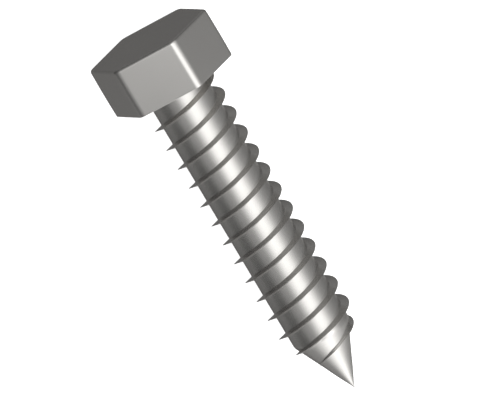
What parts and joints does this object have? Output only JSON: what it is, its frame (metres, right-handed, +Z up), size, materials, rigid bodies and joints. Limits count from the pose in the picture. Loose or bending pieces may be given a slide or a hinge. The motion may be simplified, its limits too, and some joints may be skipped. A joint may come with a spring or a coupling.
{
  "type": "hex head sheet metal screw",
  "caption": "Hex head tapping screw with a full-length spaced right-hand thread and a plain conical point, lying at rest on one flat of its head and its thread.",
  "frame": {"origin": "on the surface the screw lies on, under the middle of its bounding box", "axes": "+X along the screw towards its point, in plan; +Z up; the lowest flat of the head faces down"},
  "size_m": [0.0334, 0.0106, 0.0096],
  "materials": {
    "steel": "bright polished steel, warm neutral grey"
  },
  "bodies": {
    "root": {"screw": "steel"}
  },
  "joints": []
}
